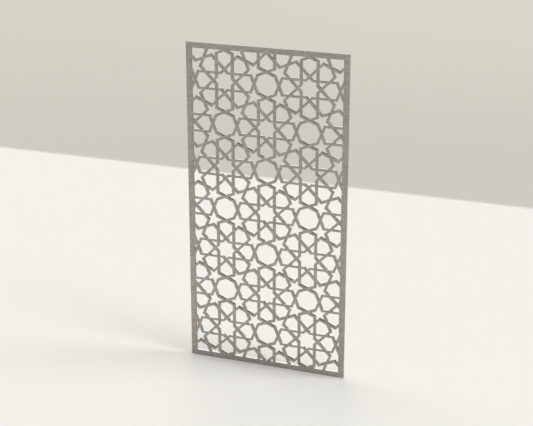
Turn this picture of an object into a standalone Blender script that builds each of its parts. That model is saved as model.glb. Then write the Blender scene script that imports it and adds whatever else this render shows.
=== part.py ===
"""A pierced metal screen: one flat sheet, cut right through to a lattice of eight-fold rosettes,
octagons and five-pointed stars inside a plain border. It stands upright and faces -Y, with the
middle of its lower edge at the origin."""

import math

import bmesh
import bpy
from mathutils import Matrix, Vector

# Driving sizes of the sheet and its plain border, in metres
SCREEN_WIDTH = 0.600
SCREEN_HEIGHT = 1.200
SHEET_THICKNESS = 0.009
SIDE_BORDER = 0.020
END_BORDER = 0.020

# Driving sizes of the lattice, in metres: from the centre of a rosette to the centre of the
# octagon beside it, from the centre of a rosette to the tips of its star, the width of a strap,
# how far the middle rosette sits below the middle of the sheet, the narrowest cut made, and
# how far a cut runs past each face of the sheet
ROSETTE_TO_OCTAGON = 0.157
STAR_RADIUS = 0.0424
STRAP_WIDTH = 0.009
LATTICE_DROP = 0.0025
NARROWEST_CUT = 0.001
CUTTER_OVERRUN = 0.002

# The finish: warm grey brushed steel
STEEL_COLOUR = (0.34, 0.315, 0.29, 1.0)
STEEL_ROUGHNESS = 0.38

# The lattice turns in eighths and in quarters
EIGHTH = math.radians(45)
QUARTER = math.radians(90)


def turned(points, angle):
    """The points, turned about the origin."""
    turn = Matrix.Rotation(angle, 2)
    return [turn @ point for point in points]


def flipped(point):
    """The point on the other side of the petal's axis, which is the X axis."""
    return Vector((point.x, -point.y))


# Where the centrelines of the straps cross, beside the axis of a rosette's right-hand petal
strap_offset = STAR_RADIUS * math.cos(EIGHTH)
petal_reach = ROSETTE_TO_OCTAGON * math.cos(EIGHTH)
octagon_radius = ROSETTE_TO_OCTAGON - petal_reach
star_tip = Vector((STAR_RADIUS, 0))
star_notch = Vector((strap_offset, strap_offset * math.tan(EIGHTH / 2)))
petal_corner = Vector((STAR_RADIUS + strap_offset, strap_offset))
petal_shoulder = Vector((petal_reach - star_notch.y, strap_offset))
petal_tip = Vector((petal_reach, 0))


def rosette_outlines():
    """One rosette about the origin: its eight-pointed star, and eight kites and petals round it."""
    star = []
    kite = [star_tip, petal_corner, *turned([star_tip], EIGHTH), star_notch]
    petal = [
        star_tip,
        flipped(petal_corner),
        flipped(petal_shoulder),
        petal_tip,
        petal_shoulder,
        petal_corner,
    ]
    outlines = [star]
    for step in range(8):
        star += turned([star_tip, star_notch], step * EIGHTH)
        outlines.append(turned(kite, step * EIGHTH))
        outlines.append(turned(petal, step * EIGHTH))
    return outlines


def octagon_outlines():
    """One octagon about the origin, and the four five-pointed stars that lean on its corners."""
    corners = [turned([Vector((octagon_radius, 0))], step * EIGHTH)[0] for step in range(8)]
    # The rosette on the octagon's left bounds the near side of the star above that rosette's petal
    next_shoulder, next_tip = turned([flipped(petal_shoulder), petal_tip], EIGHTH)
    centre = Vector((ROSETTE_TO_OCTAGON, 0))
    near_side = [
        point - centre
        for point in (petal_tip, petal_shoulder, petal_corner, next_shoulder)
    ]
    # The star's far side mirrors its near side across the line from the octagon's centre
    far_side = [Vector((-point.y, -point.x)) for point in near_side]
    star = [corners[3], *far_side, next_tip - centre, *reversed(near_side)]
    stars = [turned(star, step * QUARTER) for step in range(4)]
    return [corners, *stars]


def lattice_faces(half_width, half_height):
    """A flat face for every opening that reaches into the window, with the straps left between."""
    bm = bmesh.new()
    middle = Vector((0, -LATTICE_DROP))
    columns = math.ceil(half_width / ROSETTE_TO_OCTAGON) + 1
    rows = math.ceil((half_height + LATTICE_DROP) / ROSETTE_TO_OCTAGON) + 1
    rosette = rosette_outlines()
    octagon = octagon_outlines()
    for column in range(-columns, columns + 1):
        for row in range(-rows, rows + 1):
            centre = middle + Vector((column, row)) * ROSETTE_TO_OCTAGON
            for outline in octagon if (column + row) % 2 else rosette:
                corners = [bm.verts.new((*(centre + point), 0)) for point in outline]
                bm.faces.new(corners)
    bm.normal_update()
    straps = bmesh.ops.inset_individual(
        bm, faces=bm.faces[:], thickness=STRAP_WIDTH / 2, use_even_offset=True
    )
    bmesh.ops.delete(bm, geom=straps["faces"], context="FACES")
    return bm


def trim_to_window(bm, half_width, half_height):
    """Ends the openings at the border's inner edges, and drops what is too narrow to cut."""
    for inner_edge in (
        Vector((half_width, 0, 0)),
        Vector((-half_width, 0, 0)),
        Vector((0, half_height, 0)),
        Vector((0, -half_height, 0)),
    ):
        bmesh.ops.bisect_plane(
            bm,
            geom=bm.verts[:] + bm.edges[:] + bm.faces[:],
            dist=1e-6,
            plane_co=inner_edge,
            plane_no=inner_edge,
            clear_outer=True,
        )
    too_narrow = [face for face in bm.faces if mean_width(face) < NARROWEST_CUT]
    bmesh.ops.delete(bm, geom=too_narrow, context="FACES")


def mean_width(face):
    """The side of the square that has the same ratio of area to perimeter as the face."""
    return 4 * face.calc_area() / sum(edge.calc_length() for edge in face.edges)


def brushed_steel():
    """Warm grey steel with a brushed front."""
    material = bpy.data.materials.new("brushed_steel")
    material.use_nodes = True
    shader = material.node_tree.nodes["Principled BSDF"]
    shader.inputs["Base Color"].default_value = STEEL_COLOUR
    shader.inputs["Metallic"].default_value = 1.0
    shader.inputs["Roughness"].default_value = STEEL_ROUGHNESS
    return material


def lattice_cutter():
    """Every opening of the lattice as a block that passes right through the sheet."""
    half_width = SCREEN_WIDTH / 2 - SIDE_BORDER
    half_height = SCREEN_HEIGHT / 2 - END_BORDER
    openings = lattice_faces(half_width, half_height)
    trim_to_window(openings, half_width, half_height)
    mesh = bpy.data.meshes.new("lattice_openings")
    openings.to_mesh(mesh)
    openings.free()
    cutter = bpy.data.objects.new("lattice_openings", mesh)
    cutter.rotation_euler = (QUARTER, 0, 0)
    cutter.location = (0, 0, SCREEN_HEIGHT / 2)
    cutter.hide_render = True
    cutter.display_type = "WIRE"
    depth = cutter.modifiers.new("depth", "SOLIDIFY")
    depth.thickness = SHEET_THICKNESS + 2 * CUTTER_OVERRUN
    depth.offset = 0
    return cutter


def pierced_metal_screen(cutter):
    """The sheet, with the openings cut through it."""
    bm = bmesh.new()
    bmesh.ops.create_cube(bm, size=1)
    bmesh.ops.scale(bm, vec=(SCREEN_WIDTH, SHEET_THICKNESS, SCREEN_HEIGHT), verts=bm.verts)
    mesh = bpy.data.meshes.new("pierced_metal_screen")
    bm.to_mesh(mesh)
    bm.free()
    mesh.materials.append(brushed_steel())
    sheet = bpy.data.objects.new("pierced_metal_screen", mesh)
    sheet.location = (0, 0, SCREEN_HEIGHT / 2)
    lattice = sheet.modifiers.new("lattice", "BOOLEAN")
    lattice.operation = "DIFFERENCE"
    lattice.solver = "EXACT"
    lattice.object = cutter
    return sheet


for leftover in list(bpy.data.objects):
    bpy.data.objects.remove(leftover)
cutters = bpy.data.collections.new("cutters")
screen = bpy.data.collections.new("decorative_metal_screen")
for collection in (cutters, screen):
    bpy.context.scene.collection.children.link(collection)
lattice_openings = lattice_cutter()
cutters.objects.link(lattice_openings)
screen.objects.link(pierced_metal_screen(lattice_openings))
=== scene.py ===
import math

import bmesh
import bpy
from mathutils import Euler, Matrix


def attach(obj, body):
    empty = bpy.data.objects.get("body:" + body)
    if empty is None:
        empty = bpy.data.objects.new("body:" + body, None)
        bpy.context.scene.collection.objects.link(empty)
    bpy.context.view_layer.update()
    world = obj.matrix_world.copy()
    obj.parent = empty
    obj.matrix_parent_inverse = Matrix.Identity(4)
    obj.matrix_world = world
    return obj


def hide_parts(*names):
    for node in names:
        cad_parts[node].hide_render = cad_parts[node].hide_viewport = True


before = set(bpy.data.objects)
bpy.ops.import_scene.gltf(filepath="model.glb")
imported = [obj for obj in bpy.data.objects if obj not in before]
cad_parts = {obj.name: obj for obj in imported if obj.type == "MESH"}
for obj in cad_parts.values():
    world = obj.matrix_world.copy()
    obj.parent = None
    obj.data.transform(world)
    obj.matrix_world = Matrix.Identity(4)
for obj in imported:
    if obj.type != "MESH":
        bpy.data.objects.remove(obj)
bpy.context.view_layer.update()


# The pierced sheet. One flat plate of warm grey steel, cut right through to its lattice of
# rosettes, octagons and stars. Its two faces are brushed from side to side, the cut leaves fine
# striations on every wall, and every sharp edge is broken, round each opening and round the plate.
SAME_POINT = 1e-6
FLAT_WITHIN = math.radians(0.5)
SHARP_OVER = math.radians(20)
EDGE_BREAK = 0.0003
EDGE_BREAK_SEGMENTS = 2
FACE, CUT_WALL, BROKEN_EDGE = range(3)


def is_wall(face):
    """True for a cut wall or an outer edge of the plate, which stand square to its faces."""
    return abs(face.normal.y) < 0.5


sheet = bmesh.new()
sheet.from_mesh(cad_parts["pierced_metal_screen"].data)
bmesh.ops.remove_doubles(sheet, verts=sheet.verts, dist=SAME_POINT)
bmesh.ops.dissolve_limit(
    sheet,
    angle_limit=FLAT_WITHIN,
    use_dissolve_boundaries=False,
    verts=sheet.verts,
    edges=sheet.edges,
    delimit=set(),
)
for face in sheet.faces:
    face.material_index = CUT_WALL if is_wall(face) else FACE
rims = [
    edge
    for edge in sheet.edges
    if edge.calc_face_angle() > SHARP_OVER
    and is_wall(edge.link_faces[0]) != is_wall(edge.link_faces[1])
]
broken = bmesh.ops.bevel(
    sheet,
    geom=rims,
    offset=EDGE_BREAK,
    offset_type="OFFSET",
    segments=EDGE_BREAK_SEGMENTS,
    profile=0.5,
    affect="EDGES",
    material=-1,
    clamp_overlap=False,
)
for face in broken["faces"]:
    face.material_index = BROKEN_EDGE
    face.smooth = True
sheet_mesh = bpy.data.meshes.new("pierced_steel_sheet")
sheet.to_mesh(sheet_mesh)
sheet.free()

# Noise rarely leaves this range, so a finish runs from its smoothest to its roughest across it
NOISE_LOW, NOISE_HIGH = 0.25, 0.75


def marks(nodes, links, lengths, detail):
    """Noise about 0.5 whose marks are this long along X, Y and Z, on Object coordinates."""
    place = nodes.new("ShaderNodeTexCoord")
    stretch = nodes.new("ShaderNodeMapping")
    stretch.inputs["Scale"].default_value = [1 / length for length in lengths]
    noise = nodes.new("ShaderNodeTexNoise")
    noise.inputs["Scale"].default_value = 1.0
    noise.inputs["Detail"].default_value = detail
    links.new(place.outputs["Object"], stretch.inputs["Vector"])
    links.new(stretch.outputs["Vector"], noise.inputs["Vector"])
    return noise.outputs["Fac"]


def steel(name, layers, tones, smoothest, roughest, depth, strength):
    """A bare steel under layers of marks, each with its lengths along X, Y and Z, its detail and
    its weight. They add up to the tone, which colours and dulls the steel, from its darkest and
    smoothest to its palest and roughest. The last layer is also scored in, to a depth in metres."""
    material = bpy.data.materials.new(name)
    material.use_nodes = True
    nodes, links = material.node_tree.nodes, material.node_tree.links
    shader = nodes["Principled BSDF"]
    shader.inputs["Metallic"].default_value = 1.0

    tone = None
    for lengths, detail, weight in layers:
        layer = marks(nodes, links, lengths, detail)
        total = nodes.new("ShaderNodeMath")
        total.operation = "MULTIPLY_ADD"
        total.inputs[1].default_value = weight
        total.inputs[2].default_value = 0.0
        links.new(layer, total.inputs[0])
        if tone is not None:
            links.new(tone, total.inputs[2])
        tone = total.outputs[0]

    ramp = nodes.new("ShaderNodeValToRGB")
    stops = ramp.color_ramp.elements
    while len(stops) < len(tones):
        stops.new(0.5)
    for stop, (position, colour) in zip(stops, tones):
        stop.position = position
        stop.color = (*colour, 1.0)
    links.new(tone, ramp.inputs["Fac"])
    links.new(ramp.outputs["Color"], shader.inputs["Base Color"])

    dullness = nodes.new("ShaderNodeMapRange")
    dullness.inputs["From Min"].default_value = NOISE_LOW
    dullness.inputs["From Max"].default_value = NOISE_HIGH
    dullness.inputs["To Min"].default_value = smoothest
    dullness.inputs["To Max"].default_value = roughest
    links.new(tone, dullness.inputs["Value"])
    links.new(dullness.outputs["Result"], shader.inputs["Roughness"])

    bump = nodes.new("ShaderNodeBump")
    bump.inputs["Strength"].default_value = strength
    bump.inputs["Distance"].default_value = depth
    links.new(layer, bump.inputs["Height"])
    links.new(bump.outputs["Normal"], shader.inputs["Normal"])
    return material


# The rolled and brushed face: clouds where the belt pressed unevenly, streaks, and a fine grain
# along X
brushed_face = steel(
    "brushed_steel_face",
    layers=(
        ((0.070, 0.070, 0.045), 3.0, 0.20),
        ((0.011, 0.011, 0.0022), 2.0, 0.65),
        ((0.030, 0.010, 0.0004), 2.0, 0.15),
    ),
    tones=(
        (0.30, (0.229, 0.214, 0.195)),
        (0.50, (0.366, 0.348, 0.329)),
        (0.70, (0.502, 0.483, 0.463)),
    ),
    smoothest=0.30,
    roughest=0.44,
    depth=0.00002,
    strength=0.5,
)

# A cut wall: faint clouds, and striations through the plate. It is darker and browner than the face.
cut_wall = steel(
    "cut_steel_wall",
    layers=(
        ((0.020, 0.020, 0.020), 2.0, 0.5),
        ((0.0005, 0.0150, 0.0005), 2.0, 0.5),
    ),
    tones=(
        (0.30, (0.178, 0.161, 0.139)),
        (0.50, (0.228, 0.209, 0.185)),
        (0.70, (0.278, 0.257, 0.231)),
    ),
    smoothest=0.13,
    roughest=0.24,
    depth=0.00003,
    strength=0.5,
)

# The broken edge: bare brighter metal, rubbed smooth in places and finely scratched
broken_edge = steel(
    "broken_steel_edge",
    layers=(
        ((0.012, 0.012, 0.012), 3.0, 0.6),
        ((0.0010, 0.0010, 0.0010), 2.0, 0.4),
    ),
    tones=(
        (0.35, (0.300, 0.280, 0.254)),
        (0.65, (0.520, 0.500, 0.470)),
    ),
    smoothest=0.16,
    roughest=0.32,
    depth=0.00002,
    strength=0.4,
)

# In the order of FACE, CUT_WALL and BROKEN_EDGE
for finish in (brushed_face, cut_wall, broken_edge):
    sheet_mesh.materials.append(finish)
pierced_steel_sheet = bpy.data.objects.new("pierced_steel_sheet", sheet_mesh)
bpy.context.scene.collection.objects.link(pierced_steel_sheet)
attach(pierced_steel_sheet, "root")
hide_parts("pierced_metal_screen")


# The studio floor. A plain matt pale floor that the screen stands on. Far in front of the screen
# it is painted a little darker, painted shade where the studio light falls off, and its far edge is
# soft, so that it melts into the backdrop.
FLOOR_REACH = 14.0
FLOOR_BACK = 2.15
SOFT_EDGE = 0.06
DARKER_FROM, DARKEST_AT = -1.4, -5.0
FLOOR_COLOUR = (0.828, 0.820, 0.797, 1.0)
# Painted shade: the far front of the floor is painted this darker tone, where the light falls off
FLOOR_PAINTED_FALLOFF_COLOUR = (0.705, 0.696, 0.674, 1.0)


def eased(tree, value, start, end):
    """Goes smoothly from 0 to 1 while the value goes from start to end."""
    node = tree.nodes.new("ShaderNodeMapRange")
    node.interpolation_type = "SMOOTHSTEP"
    node.inputs["From Min"].default_value = start
    node.inputs["From Max"].default_value = end
    tree.links.new(value, node.inputs["Value"])
    return node.outputs["Result"]


def mixed(tree, factor, *colours):
    """Goes from the first colour to the second with the factor."""
    node = tree.nodes.new("ShaderNodeMix")
    node.data_type = "RGBA"
    tree.links.new(factor, node.inputs["Factor"])
    for socket, colour in zip((node.inputs["A"], node.inputs["B"]), colours):
        if isinstance(colour, tuple):
            socket.default_value = colour
        else:
            tree.links.new(colour, socket)
    return node.outputs["Result"]


floor_shape = bmesh.new()
bmesh.ops.create_grid(floor_shape, x_segments=1, y_segments=1, size=FLOOR_REACH)
bmesh.ops.translate(
    floor_shape, vec=(0, FLOOR_BACK - FLOOR_REACH, 0), verts=floor_shape.verts
)
floor_mesh = bpy.data.meshes.new("studio_floor")
floor_shape.to_mesh(floor_mesh)
floor_shape.free()
floor_paint = bpy.data.materials.new("floor_paint")
floor_paint.use_nodes = True
paint = floor_paint.node_tree
floor_shader = paint.nodes["Principled BSDF"]
floor_shader.inputs["Roughness"].default_value = 1.0
floor_shader.inputs["Specular IOR Level"].default_value = 0.0
floor_place = paint.nodes.new("ShaderNodeTexCoord")
floor_parts = paint.nodes.new("ShaderNodeSeparateXYZ")
paint.links.new(floor_place.outputs["Object"], floor_parts.inputs["Vector"])
distance = floor_parts.outputs["Y"]
# Painted shade, darker far in front of the screen, where the studio light falls off
painted_falloff = eased(paint, distance, DARKER_FROM, DARKEST_AT)
floor_tone_with_painted_falloff = mixed(paint, painted_falloff, FLOOR_COLOUR, FLOOR_PAINTED_FALLOFF_COLOUR)
solid_floor = eased(paint, distance, FLOOR_BACK, FLOOR_BACK - SOFT_EDGE)
paint.links.new(floor_tone_with_painted_falloff, floor_shader.inputs["Base Color"])
paint.links.new(solid_floor, floor_shader.inputs["Alpha"])
floor_mesh.materials.append(floor_paint)
studio_floor = bpy.data.objects.new("studio_floor", floor_mesh)
bpy.context.scene.collection.objects.link(studio_floor)


# The studio light. A pale room, dim above, with a softbox high behind the screen on its left and
# three soft lamps far off, on the screen's right, high over it and on its left, so that all the
# shadows on the floor are faint and soft. Only the camera sees the warm grey backdrop, which is
# painted with shade: a little darker low down, by the floor, and paler to the right.
BELOW_HORIZON = (0.78, 0.75, 0.67, 1.0)
ROOM = (0.66, 0.66, 0.65, 1.0)
UPPER_ROOM = (0.10, 0.10, 0.10, 1.0)
HORIZON_FADE = (-6, 4)
UPPER_FADE = (28, 40)
# The backdrop is painted with shade: darkest low down, by the floor, and paler to the right than to
# the left
BACKDROP_PAINTED_SHADE_LOW = (0.622, 0.597, 0.538, 1.0)
BACKDROP_LEFT = (0.672, 0.645, 0.580, 1.0)
BACKDROP_RIGHT = (0.702, 0.675, 0.607, 1.0)
BACKDROP_LEFT_FADE = (-34, -8)
BACKDROP_REAR_FADE = (180, 150)
BACKDROP_LOW_FADE = (-17, -10)

# Patches of the room, in degrees. Azimuth runs from +Y towards +X, elevation up from the horizon,
# and each pair goes from no patch to full patch: left side, right side, lower end, upper end.
PALE_WALL = (1.14, 1.15, 1.18, 1.0)
CEILING_GLOW = (0.46, 0.47, 0.50, 1.0)
DARK_CARD = (0.17, 0.175, 0.19, 1.0)
SOFTBOX_SKIRT = (4.00, 4.35, 4.80, 1.0)
SOFTBOX = (5.00, 4.40, 3.40, 1.0)
ROOM_PATCHES = (
    (PALE_WALL, (8, 12), (48, 40), (-10, -4), (32, 26)),
    (CEILING_GLOW, (-20, -12), (20, 10), (26, 32), (54, 44)),
    (DARK_CARD, (-14, -10), (12, 8), (18, 26), (34, 27)),
    (SOFTBOX_SKIRT, (-33, -27), (-10, -14), (7, 27), (36, 34)),
    (SOFTBOX, (-45, -40), (-9, -13), (30, 34), (51, 47)),
)

# The lamps, each with its azimuth, elevation and width in degrees, and how brightly it glows
LAMP_COLOUR = (1.0, 0.993, 0.975)
LAMPS = (
    ("lamp_right", 89, 42, 41, 4.75),
    ("lamp_overhead", 113, 81, 20, 5.2),
    ("lamp_left", -74, 56, 22, 3.15),
)

world = bpy.data.worlds.new("studio")
world.use_nodes = True
sky = world.node_tree


def worked(operation, *inputs):
    """A Math node in the world, fed with other nodes' outputs."""
    node = sky.nodes.new("ShaderNodeMath")
    node.operation = operation
    for socket, value in zip(node.inputs, inputs):
        sky.links.new(value, socket)
    return node.outputs[0]


def inside(value, rising, falling):
    """1 between two edges and 0 outside them, eased over each."""
    return worked("MULTIPLY", eased(sky, value, *rising), eased(sky, value, *falling))


ray_place = sky.nodes.new("ShaderNodeTexCoord")
ray_parts = sky.nodes.new("ShaderNodeSeparateXYZ")
sky.links.new(ray_place.outputs["Generated"], ray_parts.inputs["Vector"])
ray_x, ray_y, ray_z = ray_parts.outputs
ray_azimuth = worked("DEGREES", worked("ARCTAN2", ray_x, ray_y))
ray_elevation = worked("DEGREES", worked("ARCSINE", ray_z))

room = mixed(sky, eased(sky, ray_elevation, *HORIZON_FADE), BELOW_HORIZON, ROOM)
room = mixed(sky, eased(sky, ray_elevation, *UPPER_FADE), room, UPPER_ROOM)
for colour, left, right, lower, upper in ROOM_PATCHES:
    across = inside(ray_azimuth, left, right)
    up = inside(ray_elevation, lower, upper)
    room = mixed(sky, worked("MULTIPLY", across, up), room, colour)
# Painted shade on the backdrop: paler to the right, darker low down by the floor
to_the_right = inside(ray_azimuth, BACKDROP_LEFT_FADE, BACKDROP_REAR_FADE)
backdrop = mixed(sky, to_the_right, BACKDROP_LEFT, BACKDROP_RIGHT)
above_the_low = eased(sky, ray_elevation, *BACKDROP_LOW_FADE)
backdrop = mixed(sky, above_the_low, BACKDROP_PAINTED_SHADE_LOW, backdrop)
light_path = sky.nodes.new("ShaderNodeLightPath")
seen = mixed(sky, light_path.outputs["Is Camera Ray"], room, backdrop)
sky.links.new(seen, sky.nodes["Background"].inputs["Color"])
bpy.context.scene.world = world

for name, azimuth, elevation, width, glow in LAMPS:
    light = bpy.data.lights.new(name, "SUN")
    light.color = LAMP_COLOUR
    light.angle = math.radians(width)
    # A lamp's strength is its glow times the part of the sky that it fills
    light.energy = glow * 2 * math.pi * (1 - math.cos(light.angle / 2))
    lamp = bpy.data.objects.new(name, light)
    lamp.rotation_euler = Euler(
        (math.radians(90 - elevation), 0, math.radians(180 - azimuth)), "XYZ"
    )
    bpy.context.scene.collection.objects.link(lamp)


# The camera stands to the right of the screen and above it, and looks down on it through a long
# lens, as the photograph's did.
FOCAL_PIXELS = 1317.2
PICTURE_WIDTH = 533
CAMERA_PLACE = (1.5607, -4.1539, 2.1674)
CAMERA_TILT = -0.33954
CAMERA_TURN = 0.35938

lens = bpy.data.cameras.new("camera")
lens.sensor_fit = "HORIZONTAL"
lens.lens = FOCAL_PIXELS / PICTURE_WIDTH * lens.sensor_width
camera = bpy.data.objects.new("camera", lens)
camera.location = CAMERA_PLACE
camera.rotation_euler = Euler((math.radians(90) + CAMERA_TILT, 0, CAMERA_TURN), "XYZ")
bpy.context.scene.collection.objects.link(camera)
bpy.context.scene.camera = camera
bpy.context.scene.view_settings.view_transform = "Standard"
